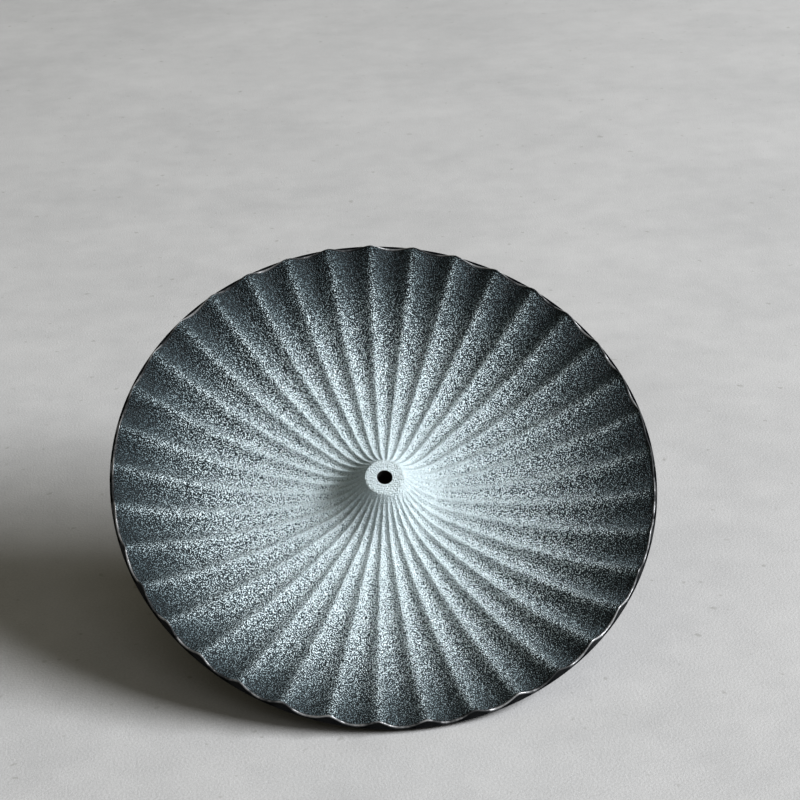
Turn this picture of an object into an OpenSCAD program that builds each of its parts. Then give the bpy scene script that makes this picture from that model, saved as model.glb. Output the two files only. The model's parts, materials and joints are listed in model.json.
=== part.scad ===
// Incense burner: a fluted cast dish with a raised boss that holds one stick.
// It leans on a slanted foot and on the low point of its rim. Z = 0 is the table.

/* [Dish] */
// Diameter across the rim, mm
dish_d = 110; // [100:1:120]
// Drop from the rim to the lowest ring of the dish, mm
dish_depth = 10.7; // [9:0.1:12]
// Number of flutes, odd so that a crest meets the table
flute_count = 37; // [25:2:39]
// Height of a crest above its grooves at the rim, mm
flute_h = 1.9; // [1:0.1:2.2]
// Wall thickness at the rim, halfway up a flute, mm
rim_t = 1.9; // [1.6:0.1:2.5]
// Wall thickness under the middle of the dish, mm
wall_t = 3; // [2.5:0.1:4]
// Angle that the dish leans over, degrees
lean = 35; // [33:1:38]

/* [Boss] */
// Diameter of the boss's flat top, mm
boss_d = 8; // [7.5:0.1:10]
// Height of the boss above the lowest ring, mm
boss_h = 7.6; // [6:0.1:9]
// Diameter of the hole for the stick, mm
stick_d = 3; // [2.5:0.1:4]
// Depth of the hole for the stick, mm
stick_depth = 11; // [8:0.5:12]

/* [Foot] */
// Diameter of the hub under the dish, mm
hub_d = 16; // [14:0.5:18]
// Length of the hub below the dish, mm
hub_len = 7.3; // [7:0.1:9]
// Diameter of the foot where it would end, mm
foot_d = 19; // [18:0.5:22]
// Thickness of the pad under the foot, mm
pad_t = 1.2; // [0.8:0.1:2]
// Thread diameter of the foot's screw, mm
screw_d = 4; // [3:0.5:4]

/* [Hidden] */

// Flute section: places across one flute, and how round its crest is.
flute_phases = [0, 0.1, 0.29, 0.5, 0.71, 0.9];
crest_round = 0.22;
flute_fade = 3;
steady_r = 12;
columns = flute_count * len(flute_phases);
first_angle = -90;

// Dish section: the flat ring between boss and bowl, as fractions of the rim radius.
rim_r = dish_d / 2;
boss_r = boss_d / 2;
boss_foot_r = 0.30 * rim_r;
bowl_r = 0.33 * rim_r;
boss_power = 2.8;
bowl_rate = dish_depth / pow(rim_r - bowl_r, 2);
edge_slope = 0.2;
top_rings = 15;
top_crowding = 1.6;
under_rings = 7;
under_z = -dish_depth - wall_t;
rim_low_r = rim_r + edge_slope * rim_t;
boss_top_z = boss_h - dish_depth;

// Height of the rim's centre that brings the rim's low point down to the table.
lift = rim_low_r * sin(lean) + rim_t * cos(lean);

// Reach of the low crest to the front and of the high rim to the back, which are centred on Y = 0.
crest_z = flute_h / 2;
front_reach = (rim_r - edge_slope * crest_z) * cos(lean) + crest_z * sin(lean);
back_reach = rim_low_r * cos(lean) + rim_t * sin(lean);
middle_y = (back_reach - front_reach) / 2;

// Hub and foot, measured along the dish's axis from the rim's plane.
hub_r = hub_d / 2;
hub_flare_r = 6;
hub_bite = 1;
flare_bite = 0.3;
hub_end_z = under_z - hub_len;
foot_r = foot_d / 2;
foot_end_z = -(lift + foot_r * sin(lean)) / cos(lean) - 1;
foot_len = hub_end_z - foot_end_z;
foot_chamfer = 0.4;
pad_r = foot_r - 1.7;
slab = 60;

// Screw with a round head and a six-sided socket, in a pocket closed by the pad.
screw_r = screw_d / 2;
screw_gap = 0.1;
screw_bite = 5;
tap_depth = 5.6;
head_r = 0.875 * screw_d;
head_h = screw_d;
head_seat_z = hub_end_z - 6;
pocket_r = head_r + 0.6;
socket_r = 0.43 * screw_d;
socket_depth = 0.55 * head_h;
shank_hole_r = screw_r + 0.25;
cut_extra = 1;

iron_colour = [0.22, 0.23, 0.24];
foot_colour = [0.12, 0.12, 0.13];
steel_colour = [0.6, 0.6, 0.62];
rubber_colour = [0.05, 0.05, 0.05];

// Height of the bowl without boss or flutes: a parabola outside the flat ring.
function bowl_z(r) = -dish_depth + bowl_rate * pow(max(r - bowl_r, 0), 2);

// Height that the boss's flared side adds.
function boss_z(r) =
    boss_h * pow(max(boss_foot_r - r, 0) / (boss_foot_r - boss_r), boss_power);

// Flute section from 1 on the crest to 0 in the groove: an arc with a rounded crest.
function arc_width(phase) = sqrt(pow(sin(180 * phase), 2) + pow(crest_round, 2));
function flute_shape(phase) =
    (arc_width(0.5) - arc_width(phase)) / (arc_width(0.5) - crest_round);

// Flutes keep one shape as they widen, are held at one height near the boss, and end at its top.
function flute_growth(r) = max(r, steady_r) / rim_r * min((r - boss_r) / flute_fade, 1);
function flute_z(r, phase) = flute_h * flute_growth(r) * (flute_shape(phase) - 0.5);

function top_r(i) = boss_r + (rim_r - boss_r) * pow(i / top_rings, top_crowding);
function top_z(r, phase) = bowl_z(r) + boss_z(r) + flute_z(r, phase);

// The rim's edge leans in slightly towards the top.
function edge_r(i, z) = i == top_rings ? rim_r - edge_slope * z : top_r(i);

function under_r(i) = rim_low_r * (1 - i / under_rings);
function wall_at(r) = wall_t + (rim_t - wall_t) * min(r / rim_r, 1);
function under_surface_z(r) = bowl_z(min(r, rim_r)) - wall_at(r);

function column_phase(j) = flute_phases[j % len(flute_phases)];
function column_angle(j) =
    first_angle + 360 * (floor(j / len(flute_phases)) + column_phase(j)) / flute_count;
function on_ring(r, j, z) = [r * cos(column_angle(j)), r * sin(column_angle(j)), z];
function top_point(i, j) =
    let (z = top_z(top_r(i), column_phase(j)))
    on_ring(edge_r(i, z), j, z);
function under_point(i, j) = on_ring(under_r(i), j, under_surface_z(under_r(i)));

module leaning() {
    translate([0, -middle_y, lift])
        rotate([lean, 0, 0])
            children();
}

// Everything below the given height above the table.
module below(height) {
    translate([-slab, -slab, height - slab])
        cube([2 * slab, 2 * slab, slab]);
}

// The fluted plate: rings out over the top, in under the smooth back, and a point at each end.
module fluted_plate() {
    rings = top_rings + 1 + under_rings;
    top_points = [for (i = [0 : top_rings]) for (j = [0 : columns - 1]) top_point(i, j)];
    under_points = [for (i = [0 : under_rings - 1]) for (j = [0 : columns - 1]) under_point(i, j)];
    ends = [[0, 0, boss_top_z], [0, 0, under_z]];
    top_end = rings * columns;
    under_end = top_end + 1;
    last = (rings - 1) * columns;
    top_fan = [for (j = [0 : columns - 1]) [top_end, (j + 1) % columns, j]];
    bands = [
        for (i = [0 : rings - 2]) for (j = [0 : columns - 1])
            let (a = i * columns + j, b = i * columns + (j + 1) % columns)
            each [[a, b, b + columns], [a, b + columns, a + columns]]
    ];
    under_fan = [for (j = [0 : columns - 1]) [last + j, last + (j + 1) % columns, under_end]];
    polyhedron(points = concat(top_points, under_points, ends), faces = concat(top_fan, bands, under_fan));
}

// Round hub under the dish, flared where it meets the back.
module hub() {
    translate([0, 0, hub_end_z])
        rotate_extrude($fn = 96)
            difference() {
                square([hub_r + hub_flare_r, hub_len + hub_bite]);
                translate([hub_r + hub_flare_r, hub_len + flare_bite - hub_flare_r])
                    circle(r = hub_flare_r, $fn = 96);
                translate([hub_r, -cut_extra])
                    square([hub_flare_r + cut_extra, cut_extra + hub_len + flare_bite - hub_flare_r]);
            }
}

module fluted_dish() {
    color(iron_colour)
        leaning()
            difference() {
                union() {
                    fluted_plate();
                    hub();
                }
                translate([0, 0, boss_top_z - stick_depth])
                    cylinder(h = stick_depth + cut_extra, r = stick_d / 2, $fn = 48);
                translate([0, 0, hub_end_z - cut_extra])
                    cylinder(h = tap_depth + cut_extra, r = screw_r, $fn = 48);
            }
}

// Tapered peg, cut off on the slant so that it stands flat while the dish leans.
module slanted_foot() {
    color(foot_colour)
        difference() {
            leaning()
                translate([0, 0, foot_end_z])
                    rotate_extrude($fn = 96)
                        polygon([
                            [0, 0],
                            [foot_r, 0],
                            [hub_r, foot_len - foot_chamfer],
                            [hub_r - foot_chamfer, foot_len],
                            [0, foot_len]
                        ]);
            below(pad_t);
            leaning()
                translate([0, 0, head_seat_z - cut_extra])
                    cylinder(h = hub_end_z - head_seat_z + 2 * cut_extra, r = shank_hole_r, $fn = 48);
            leaning()
                translate([0, 0, foot_end_z - cut_extra])
                    cylinder(h = head_seat_z - foot_end_z + cut_extra, r = pocket_r, $fn = 48);
        }
}

module foot_screw() {
    color(steel_colour)
        leaning()
            translate([0, 0, head_seat_z])
                difference() {
                    union() {
                        translate([0, 0, -head_h])
                            cylinder(h = head_h, r = head_r, $fn = 48);
                        cylinder(h = hub_end_z - head_seat_z + screw_bite, r = screw_r - screw_gap, $fn = 48);
                    }
                    translate([0, 0, -head_h - cut_extra])
                        cylinder(h = socket_depth + cut_extra, r = socket_r, $fn = 6);
                }
}

// Thin pad, stuck over the slanted end and the screw's pocket.
module floor_pad() {
    color(rubber_colour)
        intersection() {
            leaning()
                translate([0, 0, foot_end_z - slab / 2])
                    cylinder(h = foot_len + slab / 2, r = pad_r, $fn = 96);
            translate([-slab, -slab, 0])
                cube([2 * slab, 2 * slab, pad_t]);
        }
}

fluted_dish();
slanted_foot();
foot_screw();
floor_pad();
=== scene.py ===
import json
import math

import bpy
import numpy as np
from mathutils import Matrix, Vector


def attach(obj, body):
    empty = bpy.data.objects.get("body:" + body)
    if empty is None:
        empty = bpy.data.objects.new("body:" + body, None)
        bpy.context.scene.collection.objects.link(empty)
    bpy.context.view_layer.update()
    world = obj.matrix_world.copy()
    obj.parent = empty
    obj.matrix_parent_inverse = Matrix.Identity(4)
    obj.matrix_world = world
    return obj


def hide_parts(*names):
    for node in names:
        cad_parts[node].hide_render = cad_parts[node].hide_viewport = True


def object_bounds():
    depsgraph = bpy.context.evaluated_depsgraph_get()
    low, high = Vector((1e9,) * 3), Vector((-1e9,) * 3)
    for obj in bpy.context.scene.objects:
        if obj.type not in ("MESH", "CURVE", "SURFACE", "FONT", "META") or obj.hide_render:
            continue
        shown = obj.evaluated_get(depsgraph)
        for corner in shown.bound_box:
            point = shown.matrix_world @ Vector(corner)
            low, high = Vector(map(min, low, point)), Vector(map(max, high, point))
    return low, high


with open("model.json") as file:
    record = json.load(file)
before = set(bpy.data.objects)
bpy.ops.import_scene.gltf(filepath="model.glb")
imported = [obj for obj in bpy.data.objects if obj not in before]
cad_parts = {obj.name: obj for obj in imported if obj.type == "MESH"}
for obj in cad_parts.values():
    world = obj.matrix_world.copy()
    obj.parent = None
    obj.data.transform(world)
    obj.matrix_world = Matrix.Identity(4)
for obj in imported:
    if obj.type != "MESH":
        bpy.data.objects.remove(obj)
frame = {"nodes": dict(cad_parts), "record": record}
cad_low, cad_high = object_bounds()

# ---------------------------------------------------------------------------
# Fluted dish
# One sand-cast iron dish: a shallow bowl of radial flutes that climb a flared
# boss in the middle, with a hub cast under it. The boss is drilled for a stick
# and the hub is drilled from below for the foot's screw.
# ---------------------------------------------------------------------------

mounts = {mount["name"]: mount for mount in frame["record"]["mounts"]}
stick_hole = mounts["stick_hole"]

MM = 0.001
flute_count = 37
flute_height = 1.9 * MM
crest_round = 0.22
flute_fade = 3.0 * MM
flute_steady_radius = 12.0 * MM
rim_radius = 55.0 * MM
rim_thickness = 1.9 * MM
middle_thickness = 3.0 * MM
edge_slope = 0.2
dish_depth = 10.7 * MM
boss_height = 7.6 * MM
boss_radius = 4.0 * MM
boss_foot_radius = 0.30 * rim_radius
bowl_radius = 0.33 * rim_radius
boss_power = 2.8
hub_radius = 8.0 * MM
hub_flare = 6.0 * MM
hub_length = 7.3 * MM
tap_radius = 2.0 * MM
tap_depth = 5.6 * MM
edge_round = 0.45 * MM
under_round = 1.0 * MM
mouth_round = 0.15 * MM
stick_radius = stick_hole["dims"]["r_mm"] * MM
stick_depth = stick_hole["dims"]["length_mm"] * MM

boss_top = boss_height - dish_depth
back_middle = -dish_depth - middle_thickness
hub_end = back_middle - hub_length
rim_back_radius = rim_radius + edge_slope * rim_thickness

# The dish's own axis is the stick hole's; its front points at the low side of the rim.
dish_axis = Vector(stick_hole["axis"]).normalized()
dish_across = Vector((1.0, 0.0, 0.0))
dish_uphill = dish_axis.cross(dish_across)
hole_middle = Vector(stick_hole["pos_m"])
rim_centre = hole_middle + dish_axis * (stick_depth / 2 - boss_top)
dish_place = Matrix((
    (dish_across.x, dish_uphill.x, dish_axis.x, rim_centre.x),
    (dish_across.y, dish_uphill.y, dish_axis.y, rim_centre.y),
    (dish_across.z, dish_uphill.z, dish_axis.z, rim_centre.z),
    (0.0, 0.0, 0.0, 1.0),
))


def bowl_height(r):
    """A flat ring round the boss, then a parabola that rises by the dish's depth at the rim."""
    rate = dish_depth / (rim_radius - bowl_radius) ** 2
    return -dish_depth + rate * np.maximum(r - bowl_radius, 0.0) ** 2


def boss_flare(r):
    """The boss's height times a power of how far r has come in from the boss's foot to its top."""
    inward = np.maximum(boss_foot_radius - r, 0.0) / (boss_foot_radius - boss_radius)
    return boss_height * np.minimum(inward, 1.0) ** boss_power


def flute_section(turn):
    """One minus a sine arc from crest to crest, with the crest rounded: 1 on a crest, 0 in a groove."""
    arc = np.sqrt(np.sin(math.pi * turn) ** 2 + crest_round ** 2)
    widest = math.sqrt(1.0 + crest_round ** 2)
    return (widest - arc) / (widest - crest_round)


def flute_relief(r, angle):
    """Half above and half below the bowl, growing with r past the boss and fading out at its top."""
    fade = np.clip((r - boss_radius) / flute_fade, 0.0, 1.0)
    turn = flute_count * (angle + math.pi / 2) / (2 * math.pi)
    reach = np.maximum(r, flute_steady_radius) / rim_radius
    return flute_height * reach * fade * (flute_section(turn) - 0.5)


def back_height(r):
    """The bowl's curve, lowered by a wall that thickens evenly from the rim to the middle."""
    wall = middle_thickness + (rim_thickness - middle_thickness) * np.minimum(r / rim_radius, 1.0)
    return bowl_height(np.minimum(r, rim_radius)) - wall


def turned(radii, heights, angles):
    """Each profile point carried round the axis: (r cos a, r sin a, z) for every row and column."""
    ones = np.ones_like(angles)
    x = radii * np.cos(angles) if radii.ndim == 2 else radii[:, None] * np.cos(angles)
    y = radii * np.sin(angles) if radii.ndim == 2 else radii[:, None] * np.sin(angles)
    z = heights if heights.ndim == 2 else heights[:, None] * ones
    return np.stack([x, y, z], axis=-1)


def closed_surface(name, rows, start, end, place):
    """A mesh from rings of points, closed round the ring and drawn to one point at each end."""
    count, columns = rows.shape[:2]
    points = np.concatenate([rows.reshape(-1, 3), [start], [end]])
    here = np.arange(count * columns).reshape(count, columns)
    beside = np.roll(here, -1, axis=1)
    quads = np.stack([here[:-1], here[1:], beside[1:], beside[:-1]], axis=-1).reshape(-1, 4)
    first, last = count * columns, count * columns + 1
    head = np.stack([np.full(columns, first), here[0], beside[0]], axis=-1)
    tail = np.stack([np.full(columns, last), beside[-1], here[-1]], axis=-1)
    faces = head.tolist() + quads.tolist() + tail.tolist()
    mesh = bpy.data.meshes.new(name)
    mesh.from_pydata(points.tolist(), [], faces)
    mesh.transform(place)
    mesh.polygons.foreach_set("use_smooth", np.ones(len(faces), dtype=bool))
    mesh.update()
    piece = bpy.data.objects.new(name, mesh)
    bpy.context.scene.collection.objects.link(piece)
    return piece


def corner(middle_r, middle_z, radius, from_angle, to_angle, steps):
    """Points of a circle's arc in the profile: the middle plus the radius at evenly spaced angles."""
    angle = np.radians(np.linspace(from_angle, to_angle, steps))
    return middle_r + radius * np.cos(angle), middle_z + radius * np.sin(angle)


columns_per_flute = 14
columns = flute_count * columns_per_flute
angles = -math.pi / 2 + np.arange(columns) * 2 * math.pi / columns

# Down in the stick hole, up its wall and round its mouth.
hole_r = np.array([0.5, 1.0, 1.0, 1.0]) * stick_radius
hole_z = boss_top - stick_depth + np.array([0.0, 0.0, 0.02, 0.6]) * stick_depth
mouth_r, mouth_z = corner(stick_radius + mouth_round, boss_top - mouth_round, mouth_round, 180, 90, 5)
hole_rows = turned(np.append(hole_r, mouth_r), np.append(hole_z, mouth_z), angles)

# Out over the boss's top, down its flare and across the bowl to the rim.
top_r = np.concatenate([
    np.linspace(stick_radius + 2 * mouth_round, boss_radius, 8)[:-1],
    boss_radius + (boss_foot_radius - boss_radius) * np.linspace(0, 1, 40) ** 1.5,
    np.linspace(boss_foot_radius, rim_radius - edge_round, 56)[1:],
])
top_z = bowl_height(top_r) + boss_flare(top_r)
top_relief = flute_relief(top_r[:, None], angles[None, :])
top_rows = turned(top_r, top_z[:, None] + top_relief, angles)

# Round the edge's two corners; its upper one rises and falls with the flutes.
crown_z = flute_relief(np.array([[rim_radius]]), angles[None, :])
upper_r, upper_z = corner(-edge_round, -edge_round, edge_round, 75, 0, 4)
edge_top_z = crown_z + upper_z[:, None]
edge_top_r = rim_radius - edge_slope * crown_z + upper_r[:, None]
lower_r, lower_z = corner(
    rim_back_radius - under_round, under_round - rim_thickness, under_round, 10, -75, 6
)
edge_rows = np.concatenate([
    turned(edge_top_r, edge_top_z, angles),
    turned(lower_r, lower_z, angles),
])

# In under the smooth back, round the hub's flare, down the hub and up the tapped hole.
back_r = np.linspace(rim_back_radius - under_round, hub_radius + hub_flare, 24)
flare_r, flare_z = corner(hub_radius + hub_flare, back_middle - hub_flare, hub_flare, 90, 180, 12)
foot_seat_r, foot_seat_z = corner(hub_radius - edge_round, hub_end + edge_round, edge_round, 0, -90, 4)
tap_r = np.array([1.25, 1.0, 1.0, 0.5]) * tap_radius
tap_z = hub_end + np.array([0.0, 0.05, 1.0, 1.0]) * tap_depth
back_rows = turned(
    np.concatenate([back_r[:-1], flare_r, foot_seat_r, tap_r]),
    np.concatenate([back_height(back_r[:-1]), flare_z, foot_seat_z, tap_z]),
    angles,
)

dish_rows = np.concatenate([hole_rows, top_rows, edge_rows, back_rows])
dish = closed_surface(
    "dish_casting",
    dish_rows,
    (0.0, 0.0, boss_top - stick_depth),
    (0.0, 0.0, hub_end + tap_depth),
    dish_place,
)


def material_graph(name):
    """A new node material: its tree, its Principled shader, and a helper that adds one node."""
    material = bpy.data.materials.new(name)
    material.use_nodes = True
    tree = material.node_tree
    shader = tree.nodes["Principled BSDF"]

    def add(kind, **settings):
        item = tree.nodes.new(kind)
        for key, value in settings.items():
            setattr(item, key, value)
        return item

    return material, tree, shader, add


def maths(add, tree, operation, first, second=None, clamp=False):
    """One Math node on a socket and a second socket or number; returns its result."""
    item = add("ShaderNodeMath", operation=operation, use_clamp=clamp)
    for slot, value in enumerate((first, second)):
        if value is None:
            continue
        if isinstance(value, (int, float)):
            item.inputs[slot].default_value = value
        else:
            tree.links.new(value, item.inputs[slot])
    return item.outputs[0]


def noise(add, tree, place, scale, detail, roughness=0.55):
    """Soft noise, 0 to 1, with features of about one metre over the scale."""
    item = add("ShaderNodeTexNoise")
    item.inputs["Scale"].default_value = scale
    item.inputs["Detail"].default_value = detail
    item.inputs["Roughness"].default_value = roughness
    tree.links.new(place, item.inputs["Vector"])
    return item.outputs["Fac"]


def remap(add, tree, value, low, high, to_low=0.0, to_high=1.0, smooth=True):
    """A value carried from one range to another, held at both ends."""
    item = add("ShaderNodeMapRange", interpolation_type="SMOOTHSTEP" if smooth else "LINEAR")
    item.inputs["From Min"].default_value = low
    item.inputs["From Max"].default_value = high
    item.inputs["To Min"].default_value = to_low
    item.inputs["To Max"].default_value = to_high
    tree.links.new(value, item.inputs["Value"])
    return item.outputs["Result"]


def blend_colours(add, tree, share, first, second):
    """A colour between two, by a share from 0 to 1."""
    item = add("ShaderNodeMix", data_type="RGBA")
    tree.links.new(share, item.inputs["Factor"])
    for socket, value in ((item.inputs[6], first), (item.inputs[7], second)):
        if isinstance(value, tuple):
            socket.default_value = (*value, 1.0)
        else:
            tree.links.new(value, socket)
    return item.outputs[2]


def bump(add, tree, shader, height, distance, strength):
    """Turns a height into a bump on the shader's normal."""
    item = add("ShaderNodeBump")
    item.inputs["Strength"].default_value = strength
    item.inputs["Distance"].default_value = distance
    tree.links.new(height, item.inputs["Height"])
    tree.links.new(item.outputs["Normal"], shader.inputs["Normal"])
    return item


def dish_places(add, tree):
    """Places on the dish in its own frame: the axis is Z and the rim's centre is the origin."""
    source = add("ShaderNodeTexCoord")
    shift = add("ShaderNodeMapping", vector_type="TEXTURE")
    shift.inputs["Location"].default_value = rim_centre
    shift.inputs["Rotation"].default_value = dish_place.to_euler()
    tree.links.new(source.outputs["Object"], shift.inputs["Vector"])
    return source.outputs["Object"], shift.outputs["Vector"]


def share_of_rim(add, tree, own_place, shift):
    """The distance from the dish's axis, after a sideways shift, over the rim's radius."""
    flat = add("ShaderNodeVectorMath", operation="MULTIPLY_ADD")
    flat.inputs[1].default_value = (1.0, 1.0, 0.0)
    flat.inputs[2].default_value = shift
    tree.links.new(own_place, flat.inputs[0])
    length = add("ShaderNodeVectorMath", operation="LENGTH")
    tree.links.new(flat.outputs["Vector"], length.inputs[0])
    return maths(add, tree, "DIVIDE", length.outputs["Value"], rim_radius)


# Dark coated iron with cast grain, dusted with pale frost from the boss outwards. The pale middle is
# set a little towards the low side, and each grain shifts how far out its own spot seems to be.
pale_middle_shift = (-0.6 * MM, 2.2 * MM, 0.0)
frost_grain_scale = 4200.0
frost_clump_scale = 1300.0
frost_patch_scale = 90.0
frost_bump = 0.0008
frosted_iron, tree, shader, add = material_graph("frosted_iron")
place, own_place = dish_places(add, tree)
from_middle = share_of_rim(add, tree, own_place, pale_middle_shift)

grain = noise(add, tree, place, frost_grain_scale, 0.0)
clumps = noise(add, tree, place, frost_clump_scale, 1.0)
patches = noise(add, tree, place, frost_patch_scale, 3.0)
crest = add("ShaderNodeAttribute", attribute_name="crest").outputs["Fac"]

swing = remap(add, tree, from_middle, 0.2, 0.9, 0.34, 0.36, smooth=False)
grain_swing = remap(add, tree, grain, 0.36, 0.64, 1.0, -1.0, smooth=False)
sparkle = maths(add, tree, "MULTIPLY", grain_swing, swing)
drift = remap(add, tree, patches, 0.25, 0.75, -0.03, 0.03, smooth=False)
# Crests lighter and grooves darker: partly wear on the crests, partly painted shade in the grooves.
crest_wear_groove_shade = remap(add, tree, maths(add, tree, "POWER", crest, 2.0), 0.0, 1.0, 0.045, -0.115, smooth=False)
drifted = maths(add, tree, "ADD", from_middle, drift)
reach = maths(add, tree, "ADD", drifted, maths(add, tree, "ADD", sparkle, crest_wear_groove_shade))
fade = add("ShaderNodeValToRGB")
fade.color_ramp.interpolation = "LINEAR"
frost_stops = (
    (0.00, (0.50, 0.58, 0.615)),
    (0.24, (0.69, 0.79, 0.83)),
    (0.42, (0.58, 0.67, 0.71)),
    (0.53, (0.30, 0.37, 0.40)),
    (0.63, (0.112, 0.151, 0.170)),
    (0.73, (0.046, 0.065, 0.076)),
    (0.82, (0.024, 0.036, 0.043)),
    (0.91, (0.016, 0.024, 0.028)),
    (1.00, (0.012, 0.017, 0.020)),
)
while len(fade.color_ramp.elements) < len(frost_stops):
    fade.color_ramp.elements.new(0.5)
for stop, (position, colour) in zip(fade.color_ramp.elements, frost_stops):
    stop.position = position
    stop.color = (*colour, 1.0)
tree.links.new(reach, fade.inputs["Fac"])
tree.links.new(fade.outputs["Color"], shader.inputs["Base Color"])
tree.links.new(remap(add, tree, from_middle, 0.45, 0.85, 0.85, 0.55), shader.inputs["Roughness"])
shader.inputs["Specular IOR Level"].default_value = 0.3
grain_relief = maths(add, tree, "MULTIPLY", grain, 0.7)
cast_relief = maths(add, tree, "ADD", grain_relief, maths(add, tree, "MULTIPLY", clumps, 0.4))
deeper = maths(add, tree, "MULTIPLY", maths(add, tree, "MULTIPLY", crest, from_middle), 0.7)
relief = maths(add, tree, "ADD", cast_relief, deeper)
bump(add, tree, shader, relief, frost_bump, 1.0)

# The same iron under its plain black coat: the edge, the back and the hub.
coat_black = (0.004, 0.005, 0.006)
coat_worn = (0.014, 0.016, 0.017)
back_black = (0.012, 0.013, 0.014)
back_grey = (0.034, 0.036, 0.038)
# Worn bare iron for the rim's upper edge, partly a painted highlight line.
rubbed_iron_highlight = (0.50, 0.51, 0.53)

black_coat, tree, shader, add = material_graph("black_coat")
place, own_place = dish_places(add, tree)
sand = noise(add, tree, place, 1500.0, 3.0, 0.6)
streaks = noise(add, tree, place, 140.0, 4.0, 0.6)
# A bright worn-iron line on the upper edge: partly edge wear, partly a painted highlight.
rim_wear_highlight = add("ShaderNodeAttribute", attribute_name="rim_wear_highlight").outputs["Fac"]
patchy_wear_highlight = maths(add, tree, "MULTIPLY", rim_wear_highlight, remap(add, tree, streaks, 0.42, 0.58, 0.1, 1.0))
# The edge is smoother and blacker than the back.
near_edge = remap(add, tree, share_of_rim(add, tree, own_place, (0.0, 0.0, 0.0)), 0.95, 0.99)
edge_coat = blend_colours(add, tree, remap(add, tree, streaks, 0.52, 0.75), coat_black, coat_worn)
sand_share = remap(add, tree, sand, 0.4, 0.65)
back_coat = blend_colours(add, tree, sand_share, back_black, back_grey)
coat = blend_colours(add, tree, near_edge, back_coat, edge_coat)
tree.links.new(blend_colours(add, tree, patchy_wear_highlight, coat, rubbed_iron_highlight), shader.inputs["Base Color"])
tree.links.new(maths(add, tree, "MULTIPLY", patchy_wear_highlight, 0.7), shader.inputs["Metallic"])
tree.links.new(remap(add, tree, streaks, 0.3, 0.7, 0.42, 0.30), shader.inputs["Roughness"])
tree.links.new(remap(add, tree, near_edge, 0.0, 1.0, 0.5, 0.08), shader.inputs["Specular IOR Level"])
bump(add, tree, shader, sand, 0.0002, 0.6)

# Painted shade in the two holes: near-black and mottled.
hole_painted_shade, tree, shader, add = material_graph("hole_painted_shade")
place = add("ShaderNodeTexCoord").outputs["Object"]
hole_shade_mottle = noise(add, tree, place, 1800.0, 2.0)
hole_shade_share = remap(add, tree, hole_shade_mottle, 0.35, 0.7)
hole_shade_tone = blend_colours(add, tree, hole_shade_share, (0.003, 0.003, 0.003), (0.012, 0.011, 0.010))
tree.links.new(hole_shade_tone, shader.inputs["Base Color"])
shader.inputs["Roughness"].default_value = 0.9
bump(add, tree, shader, hole_shade_mottle, 0.0001, 0.4)

for finish in (frosted_iron, black_coat, hole_painted_shade):
    dish.data.materials.append(finish)
crest_of_column = flute_section(flute_count * (angles + math.pi / 2) / (2 * math.pi))
crest_values = np.append(np.tile(crest_of_column, len(dish_rows)), (0.0, 0.0))
crest_store = dish.data.attributes.new("crest", "FLOAT", "POINT")
crest_store.data.foreach_set("value", crest_values.astype(np.float32))
# Rows of the upper edge that carry the worn line and its painted highlight.
wear_highlight_of_row = np.zeros(len(dish_rows))
wear_highlight_of_row[len(hole_rows) + len(top_rows) :][:4] = (0.5, 1.0, 0.3, 0.0)
wear_highlight_values = np.append(np.repeat(wear_highlight_of_row, columns), (0.0, 0.0))
wear_highlight_store = dish.data.attributes.new("rim_wear_highlight", "FLOAT", "POINT")
wear_highlight_store.data.foreach_set("value", wear_highlight_values.astype(np.float32))
row_finish = np.concatenate([
    np.full(len(hole_rows) - 2, 2),
    np.zeros(2 + len(top_rows) - 1, dtype=int),
    np.ones(1 + len(edge_rows) + len(back_rows) - 4, dtype=int),
    np.full(3, 2),
])
face_finish = np.concatenate([
    np.full(columns, 2),
    np.repeat(row_finish[: len(dish_rows) - 1], columns),
    np.full(columns, 2),
])
dish.data.polygons.foreach_set("material_index", face_finish.astype(np.int32))
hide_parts("fluted_dish")
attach(dish, "root")

# ---------------------------------------------------------------------------
# Slanted foot
# A turned iron peg with the same black coat, faced square where it meets the
# hub and cut on the slant where it meets the table. The screw draws it up tight.
# ---------------------------------------------------------------------------

foot_iron, tree, shader, add = material_graph("foot_iron")
place = add("ShaderNodeTexCoord").outputs["Object"]
foot_sand = noise(add, tree, place, 1300.0, 3.0, 0.6)
foot_tone = noise(add, tree, place, 160.0, 3.0)
tree.links.new(
    blend_colours(add, tree, remap(add, tree, foot_tone, 0.4, 0.7), back_black, back_grey),
    shader.inputs["Base Color"],
)
tree.links.new(remap(add, tree, foot_tone, 0.3, 0.7, 0.34, 0.5), shader.inputs["Roughness"])
bump(add, tree, shader, foot_sand, 0.0002, 0.6)
foot = frame["nodes"]["slanted_foot"]
foot.data.materials.clear()
foot.data.materials.append(foot_iron)

# ---------------------------------------------------------------------------
# Foot screw
# A plain steel cap screw, driven from below through the foot into the hub.
# ---------------------------------------------------------------------------

screw_steel, tree, shader, add = material_graph("screw_steel")
place = add("ShaderNodeTexCoord").outputs["Object"]
scratches = noise(add, tree, place, 2200.0, 2.0)
shader.inputs["Metallic"].default_value = 1.0
tree.links.new(
    blend_colours(add, tree, scratches, (0.36, 0.36, 0.37), (0.62, 0.62, 0.64)),
    shader.inputs["Base Color"],
)
tree.links.new(remap(add, tree, scratches, 0.3, 0.7, 0.28, 0.42), shader.inputs["Roughness"])
bump(add, tree, shader, scratches, 0.00003, 0.3)
screw = frame["nodes"]["foot_screw"]
screw.data.materials.clear()
screw.data.materials.append(screw_steel)

# ---------------------------------------------------------------------------
# Floor pad
# Thin black rubber, cut to the foot's slanted end and stuck over the screw.
# ---------------------------------------------------------------------------

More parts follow.
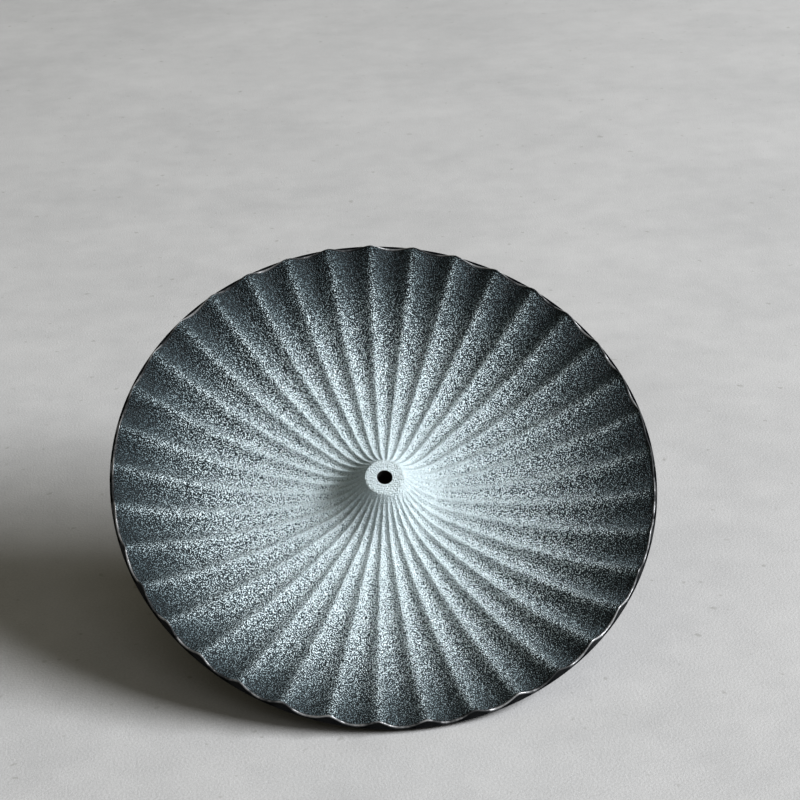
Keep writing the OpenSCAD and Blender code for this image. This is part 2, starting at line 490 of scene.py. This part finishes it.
pad_rubber, tree, shader, add = material_graph("pad_rubber")
place = add("ShaderNodeTexCoord").outputs["Object"]
rubber_grain = noise(add, tree, place, 2400.0, 2.0)
tree.links.new(
    blend_colours(add, tree, rubber_grain, (0.012, 0.012, 0.012), (0.028, 0.028, 0.028)),
    shader.inputs["Base Color"],
)
shader.inputs["Roughness"].default_value = 0.85
bump(add, tree, shader, rubber_grain, 0.00008, 0.5)
pad = frame["nodes"]["floor_pad"]
pad.data.materials.clear()
pad.data.materials.append(pad_rubber)

# ---------------------------------------------------------------------------
# Floor, light and camera
# A pale stone-grey floor, one broad soft light from the right, a weak warm fill,
# and a long lens that looks down at the dish's face.
# ---------------------------------------------------------------------------

middle = Vector([(low + high) / 2 for low, high in zip(cad_low, cad_high)])
floor_half = 3.0
floor_mesh = bpy.data.meshes.new("table_top")
floor_corners = [(-floor_half, -floor_half, 0.0), (floor_half, -floor_half, 0.0),
                 (floor_half, floor_half, 0.0), (-floor_half, floor_half, 0.0)]
floor_mesh.from_pydata(floor_corners, [], [(0, 1, 2, 3)])
table_top = bpy.data.objects.new("table_top", floor_mesh)
bpy.context.scene.collection.objects.link(table_top)

pale_stone, tree, shader, add = material_graph("pale_stone")
source = add("ShaderNodeTexCoord").outputs["Object"]
cloud = noise(add, tree, source, 16.0, 5.0, 0.6)
smear = noise(add, tree, source, 90.0, 4.0, 0.65)
speckle = noise(add, tree, source, 1900.0, 2.0, 0.7)
fleck = noise(add, tree, source, 330.0, 1.0)
tone = maths(add, tree, "MULTIPLY", cloud, 0.35)
tone = maths(add, tree, "ADD", tone, maths(add, tree, "MULTIPLY", smear, 0.25))
tone = maths(add, tree, "ADD", tone, maths(add, tree, "MULTIPLY", speckle, 0.40))
stone_share = remap(add, tree, tone, 0.32, 0.68)
stone = blend_colours(add, tree, stone_share, (0.395, 0.399, 0.409), (0.495, 0.498, 0.508))
fleck_share = remap(add, tree, fleck, 0.70, 0.79, 0.0, 0.5)
flecked_stone = blend_colours(add, tree, fleck_share, stone, (0.27, 0.27, 0.26))
tree.links.new(flecked_stone, shader.inputs["Base Color"])
shader.inputs["Roughness"].default_value = 0.8
bump(add, tree, shader, tone, 0.0004, 0.5)
floor_mesh.materials.append(pale_stone)


def soft_light(name, place, aim, width, height, power, colour):
    """A rectangular light at a place, turned to face its aim."""
    lamp = bpy.data.lights.new(name, "AREA")
    lamp.shape = "RECTANGLE"
    lamp.size, lamp.size_y = width, height
    lamp.energy = power
    lamp.color = colour
    holder = bpy.data.objects.new(name, lamp)
    holder.location = place
    holder.rotation_euler = (Vector(aim) - Vector(place)).to_track_quat("-Z", "Y").to_euler()
    bpy.context.scene.collection.objects.link(holder)
    return holder


def lamp_place(azimuth, height, distance):
    """A point at a distance from the burner's middle, at an azimuth from +X and a height angle."""
    turn, rise = math.radians(azimuth), math.radians(height)
    way = Vector((math.cos(rise) * math.cos(turn), math.cos(rise) * math.sin(turn), math.sin(rise)))
    return middle + way * distance


soft_light("window", lamp_place(-20, 33, 2.8), middle, 2.0, 0.8, 140.0, (0.985, 0.992, 1.0))
soft_light("second_window", lamp_place(-85, 45, 2.8), middle, 1.6, 0.9, 6.0, (0.985, 0.992, 1.0))

world = bpy.data.worlds.new("room")
world.use_nodes = True
world.node_tree.nodes["Background"].inputs["Color"].default_value = (1.0, 0.93, 0.70, 1.0)
world.node_tree.nodes["Background"].inputs["Strength"].default_value = 0.14
bpy.context.scene.world = world
bpy.context.scene.view_settings.view_transform = "Standard"
bpy.context.scene.view_settings.look = "Medium High Contrast"

view_azimuth = math.radians(-7.9)
view_height = math.radians(24.7)
view_roll = math.radians(-2.3)
view_distance = 0.42
aim_right, aim_up = 0.0035, 0.0140
toward = Vector((
    math.sin(view_azimuth) * math.cos(view_height),
    -math.cos(view_azimuth) * math.cos(view_height),
    math.sin(view_height),
))
level_right = Vector((math.cos(view_azimuth), math.sin(view_azimuth), 0.0))
level_up = toward.cross(level_right)
aim = rim_centre + level_right * aim_right + level_up * aim_up
tilted_right = level_right * math.cos(view_roll) + level_up * math.sin(view_roll)
tilted_up = level_up * math.cos(view_roll) - level_right * math.sin(view_roll)
lens = bpy.data.cameras.new("camera")
lens.sensor_width = 36.0
lens.lens = 93.5
lens.clip_start = 0.01
camera = bpy.data.objects.new("camera", lens)
camera.matrix_world = Matrix((
    (tilted_right.x, tilted_up.x, toward.x, (aim + toward * view_distance).x),
    (tilted_right.y, tilted_up.y, toward.y, (aim + toward * view_distance).y),
    (tilted_right.z, tilted_up.z, toward.z, (aim + toward * view_distance).z),
    (0.0, 0.0, 0.0, 1.0),
))
bpy.context.scene.collection.objects.link(camera)
bpy.context.scene.camera = camera
